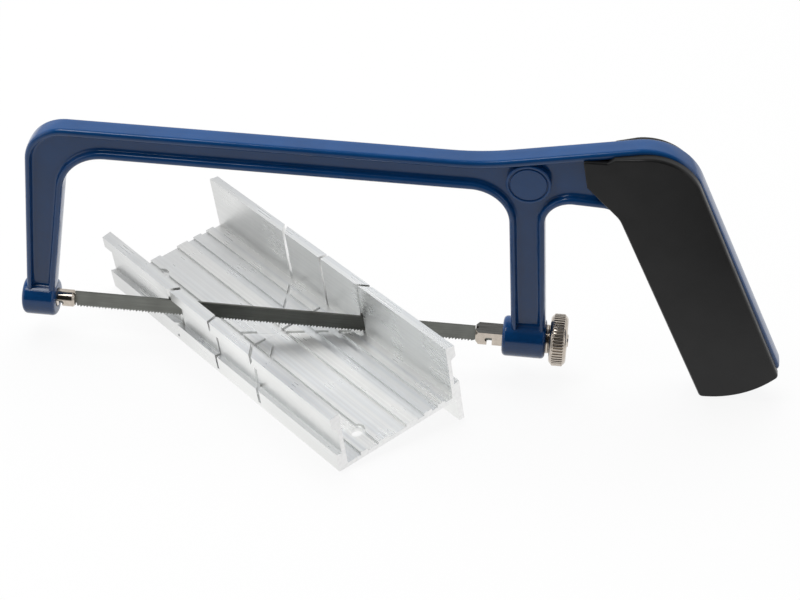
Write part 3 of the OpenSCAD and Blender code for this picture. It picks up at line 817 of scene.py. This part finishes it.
def grip_section():
    """The grips' section from the frame outwards: distance inside the outline, and height."""
    turns = [math.radians(t) for t in GRIP_TURNS]
    edge = [(GRIP_ROUND * (1 - math.cos(t)), GRIP_SIDE + GRIP_ROUND * math.sin(t)) for t in turns]
    return [(0, GRIP_BASE)] + edge


def thin_tongue(piece, side):
    """Thins a grip's tongue towards its tip, where it runs out on the rim."""
    base = GRIP_BASE * MM
    for v in piece.data.vertices:
        over = side * v.co.y - base
        share = max(0.0, min(1.0, (TONGUE_FROM * MM - v.co.x) / (TONGUE_LENGTH * MM)))
        if over > 0 and share > 0:
            v.co.y = side * (base + over * (1 - TONGUE_LOSS * share * share * (3 - 2 * share)))


class MITREBOX_OT_grips(bpy.types.Operator):
    """Moulds the two grips."""
    bl_idname = "mitrebox.grips"
    bl_label = "Grips"

    def execute(self, context):
        plastic = black_plastic(context.scene.mitre_grip.colour)
        for name, node, corners, side in (("near_grip", "left_grip", GRIP_CORNERS, -1),
                                          ("far_grip", "right_grip", FAR_GRIP_CORNERS, 1)):
            piece = loft(name, [plate_ring(corners, d, side * y) for d, y in grip_section()])
            thin_tongue(piece, side)
            low, high = sorted(side * y for y in FILLER)
            filler = loft("filler", [plate_ring(corners, FILLER_INSET, y) for y in (low, high)])
            heights = (low - 1, high + 1)
            recess = loft("recess", [plate_ring(FRAME_CORNERS, RECESS, y, RECESS_FLAT) for y in heights])
            combine(filler, recess, "INTERSECT")
            combine(piece, filler, "UNION")
            place(piece, SAW)
            smooth(piece, degrees=32)
            hand_over(piece, "saw", node, plastic)
        return {"FINISHED"}


class MITREBOX_OT_holders(bpy.types.Operator):
    """Finishes the two blade holders."""
    bl_idname = "mitrebox.holders"
    bl_label = "Blade holders"

    def execute(self, context):
        metal = context.scene.mitre_metal
        plate = nickel_plate(metal.nickel)
        bar = brushed_bar(metal.nickel, metal.dull)
        for node, name, body, width, finish in (
                ("front_blade_holder", "front_stud", "saw", 0.16, plate),
                ("rear_blade_holder", "rear_bar", "rear_holder", 0.14, bar)):
            piece = copy_of(node, name)
            soften(piece, width=width * MM, segments=3, degrees=35)
            smooth(piece, degrees=40)
            hand_over(piece, body, node, finish)
        return {"FINISHED"}


class MITREBOX_OT_nut(bpy.types.Operator):
    """Turns the knurled nut and its washer."""
    bl_idname = "mitrebox.nut"
    bl_label = "Tension nut"

    def execute(self, context):
        s = context.scene.mitre_metal
        plate = bpy.data.materials["nickel plate"]
        sides = s.ridges * NUT_STEPS
        rings = []
        for x, radius, share in NUT_FACE + NUT_EDGE + mirrored(NUT_EDGE, NUT_LENGTH) + NUT_BACK:
            grooves = s.ridges if share else 0
            rings.append(round_ring(NUT_FROM + x, radius, sides, grooves, s.ridge_depth * share))
        nut = loft("knurled_nut", rings, tube=True)
        place(nut, SAW @ RISE)
        smooth(nut, degrees=50)
        hand_over(nut, "nut", "tension_nut", plate)
        edge = WASHER_EDGE + mirrored(WASHER_EDGE, WASHER_LENGTH)
        washer = turned("washer", [(WASHER_FROM + x, radius) for x, radius in edge], tube=True)
        place(washer, SAW @ RISE)
        smooth(washer, degrees=40)
        hand_over(washer, "saw", "nut_washer", plate)
        return {"FINISHED"}


class MITREBOX_OT_blade(bpy.types.Operator):
    """Finishes the blade and its pins, and sets its teeth to either side in turn."""
    bl_idname = "mitrebox.blade"
    bl_label = "Blade"

    def execute(self, context):
        s = context.scene.mitre_metal
        piece = copy_of("saw_blade", "toothed_blade")
        place(piece, SAW.inverted())
        bpy.ops.object.mode_set(mode="EDIT")
        bpy.ops.mesh.select_all(action="SELECT")
        bpy.ops.mesh.bisect(plane_co=(0, 0, TOOTH_ROOT * MM), plane_no=(0, 0, 1))
        bpy.ops.object.mode_set(mode="OBJECT")
        for v in piece.data.vertices:
            if v.co.z < TOOTH_TIP * MM:
                tooth = math.floor((v.co.x / MM - TEETH_START) / TOOTH_PITCH)
                v.co.y += s.set_width * MM * (-1) ** tooth
            elif v.co.z < TOOTH_FOOT * MM:
                v.co.z = TOOTH_GULLET * MM
            elif v.co.x > TEETH_END * MM and v.co.z < TAB_LOW * MM:
                v.co.z = REAR_TAB * MM
        place(piece, SAW)
        smooth(piece, degrees=5)
        steel = blade_steel(s.blade, s.bare)
        hand_over(piece, "saw", "saw_blade", steel)
        for node in ("front_blade_pin", "rear_blade_pin"):
            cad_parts[node].data.materials.clear()
            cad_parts[node].data.materials.append(steel)
        return {"FINISHED"}


# Stage.

def stage_floor(colour):
    """A white floor that keeps a faint shadow. Glossy pieces see it darken in front of the part."""
    f = Finish("white floor")
    f.socket("Roughness", 0.9)
    f.socket("Specular IOR Level", 0.0)
    seen = f.node("ShaderNodeLightPath").outputs
    at = f.axes(f.node("ShaderNodeTexCoord").outputs["Object"])
    front = f.spread(at["Y"], *FALL_FRONT)
    corner = f.math("MULTIPLY", f.spread(at["X"], *FALL_SIDE), f.spread(at["Y"], *FALL_NEAR))
    fall = f.math("MULTIPLY", seen["Is Glossy Ray"], f.math("MAXIMUM", front, corner))
    glow = f.node("ShaderNodeEmission")
    f.link(f.math("SUBTRACT", 1.0, fall), glow.inputs["Strength"])
    share = f.math("MAXIMUM", seen["Is Camera Ray"], seen["Is Glossy Ray"])
    share = f.math("MAXIMUM", share, seen["Is Transmission Ray"])
    f.give("Base Color", f.blend(share, shade(colour, FLOOR_DIM), colour))
    mixed = f.node("ShaderNodeMixShader")
    f.link(f.math("MULTIPLY", share, FLOOR_GLOW), mixed.inputs["Fac"])
    f.link(f.shader.outputs["BSDF"], mixed.inputs[1])
    f.link(glow.outputs["Emission"], mixed.inputs[2])
    f.link(mixed.outputs["Shader"], f.tree.nodes["Material Output"].inputs["Surface"])
    return f.material


def lamp(name, at, size, power, mirror):
    """A soft square lamp that points at the part. Glossy pieces show it only where they may mirror it."""
    deselect()
    bpy.ops.object.light_add(type="AREA", location=at)
    made = bpy.context.object
    made.name = name
    made.data.size = size
    made.data.energy = power
    made.visible_glossy = mirror
    made.rotation_euler = (Vector(LAMP_AIM) - Vector(at)).to_track_quat("-Z", "Y").to_euler()


def studio_world():
    """A plain room: white behind the table and at its sides, and darker overhead and over the camera."""
    world = bpy.data.worlds.new("studio")
    bpy.context.scene.world = world
    world.use_nodes = True
    nodes, link = world.node_tree.nodes, world.node_tree.links.new
    coords = nodes.new("ShaderNodeTexCoord")
    split = nodes.new("ShaderNodeSeparateXYZ")
    link(coords.outputs["Generated"], split.inputs["Vector"])
    over = nodes.new("ShaderNodeMath")
    over.operation = "ARCTAN2"
    link(split.outputs["Z"], over.inputs[0])
    link(split.outputs["Y"], over.inputs[1])
    share = nodes.new("ShaderNodeMath")
    share.operation = "DIVIDE"
    share.inputs[1].default_value = math.pi
    link(over.outputs["Value"], share.inputs[0])
    ramp = nodes.new("ShaderNodeValToRGB")
    link(share.outputs["Value"], ramp.inputs["Fac"])
    stops = ramp.color_ramp.elements
    for degrees, level in ROOM:
        stop = stops[0] if degrees == 0 else stops[-1] if degrees == 180 else stops.new(degrees / 180)
        stop.position = degrees / 180
        stop.color = (level, level, level, 1)
    light = ramp.outputs["Color"]
    for dark, pale in WALLS:
        wall = nodes.new("ShaderNodeMapRange")
        for name, number in (("From Min", dark), ("From Max", pale), ("To Min", 0.0), ("To Max", 1.0)):
            wall.inputs[name].default_value = number
        link(split.outputs["X"], wall.inputs["Value"])
        lighter = nodes.new("ShaderNodeMath")
        lighter.operation = "MAXIMUM"
        link(light, lighter.inputs[0])
        link(wall.outputs["Result"], lighter.inputs[1])
        light = lighter.outputs["Value"]
    room = nodes["Background"]
    white = nodes.new("ShaderNodeBackground")
    for background in (room, white):
        background.inputs["Color"].default_value = (1, 1, 1, 1)
    link(light, room.inputs["Strength"])
    seen = nodes.new("ShaderNodeLightPath")
    mixed = nodes.new("ShaderNodeMixShader")
    link(seen.outputs["Is Camera Ray"], mixed.inputs["Fac"])
    link(room.outputs["Background"], mixed.inputs[1])
    link(white.outputs["Background"], mixed.inputs[2])
    link(mixed.outputs["Shader"], nodes["World Output"].inputs["Surface"])


class MITREBOX_OT_stage(bpy.types.Operator):
    """Sets the floor, the lamps and the camera."""
    bl_idname = "mitrebox.stage"
    bl_label = "Stage"

    def execute(self, context):
        s = context.scene.mitre_stage
        deselect()
        bpy.ops.mesh.primitive_plane_add(size=FLOOR_SIZE, location=(0, 0, -FLOOR_DROP))
        floor = context.object
        floor.name = "floor"
        floor.data.materials.append(stage_floor(s.floor))
        studio_world()
        lamp("softbox", (-0.36, -0.3, 0.85), size=0.3, power=1.5, mirror=True)
        lamp("ceiling", (-0.15, 0.3, 1.2), size=1.0, power=10, mirror=False)
        deselect()
        bpy.ops.object.camera_add(location=CAMERA_AT)
        camera = context.object
        camera.rotation_euler = [math.radians(a) for a in CAMERA_TURN]
        camera.data.lens = s.lens
        camera.data.sensor_width = SENSOR
        camera.data.clip_start = 0.01
        camera.data.clip_end = 50
        context.scene.camera = camera
        context.scene.view_settings.view_transform = "Standard"
        return {"FINISHED"}


GROUPS = {
    "mitre_frame": FrameSettings,
    "mitre_grip": GripSettings,
    "mitre_metal": MetalSettings,
    "mitre_stage": StageSettings,
}
OPERATORS = (MITREBOX_OT_box, MITREBOX_OT_frame, MITREBOX_OT_grips, MITREBOX_OT_holders, MITREBOX_OT_nut,
             MITREBOX_OT_blade, MITREBOX_OT_stage)


class MITREBOX_PT_panel(bpy.types.Panel):
    """The settings, and a button for each piece."""
    bl_idname = "MITREBOX_PT_panel"
    bl_label = "Mitre box with saw"
    bl_space_type = "VIEW_3D"
    bl_region_type = "UI"
    bl_category = "Mitre box"

    def draw(self, context):
        for group_name in GROUPS:
            group = getattr(context.scene, group_name)
            for name in group.__annotations__:
                self.layout.prop(group, name)
        for operator in OPERATORS:
            self.layout.operator(operator.bl_idname)


CLASSES = (*GROUPS.values(), *OPERATORS, MITREBOX_PT_panel)


def register():
    """Makes the classes known to Blender, and gives the scene its settings."""
    for c in CLASSES:
        bpy.utils.register_class(c)
    for name, group in GROUPS.items():
        setattr(bpy.types.Scene, name, PointerProperty(type=group))


def unregister():
    """Takes the settings and the classes away again."""
    for name in GROUPS:
        delattr(bpy.types.Scene, name)
    for c in reversed(CLASSES):
        bpy.utils.unregister_class(c)


def main():
    """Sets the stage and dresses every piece."""
    register()
    bpy.ops.mitrebox.stage()
    bpy.ops.mitrebox.box()
    bpy.ops.mitrebox.frame()
    bpy.ops.mitrebox.grips()
    bpy.ops.mitrebox.holders()
    bpy.ops.mitrebox.nut()
    bpy.ops.mitrebox.blade()


if __name__ == "__main__":
    main()
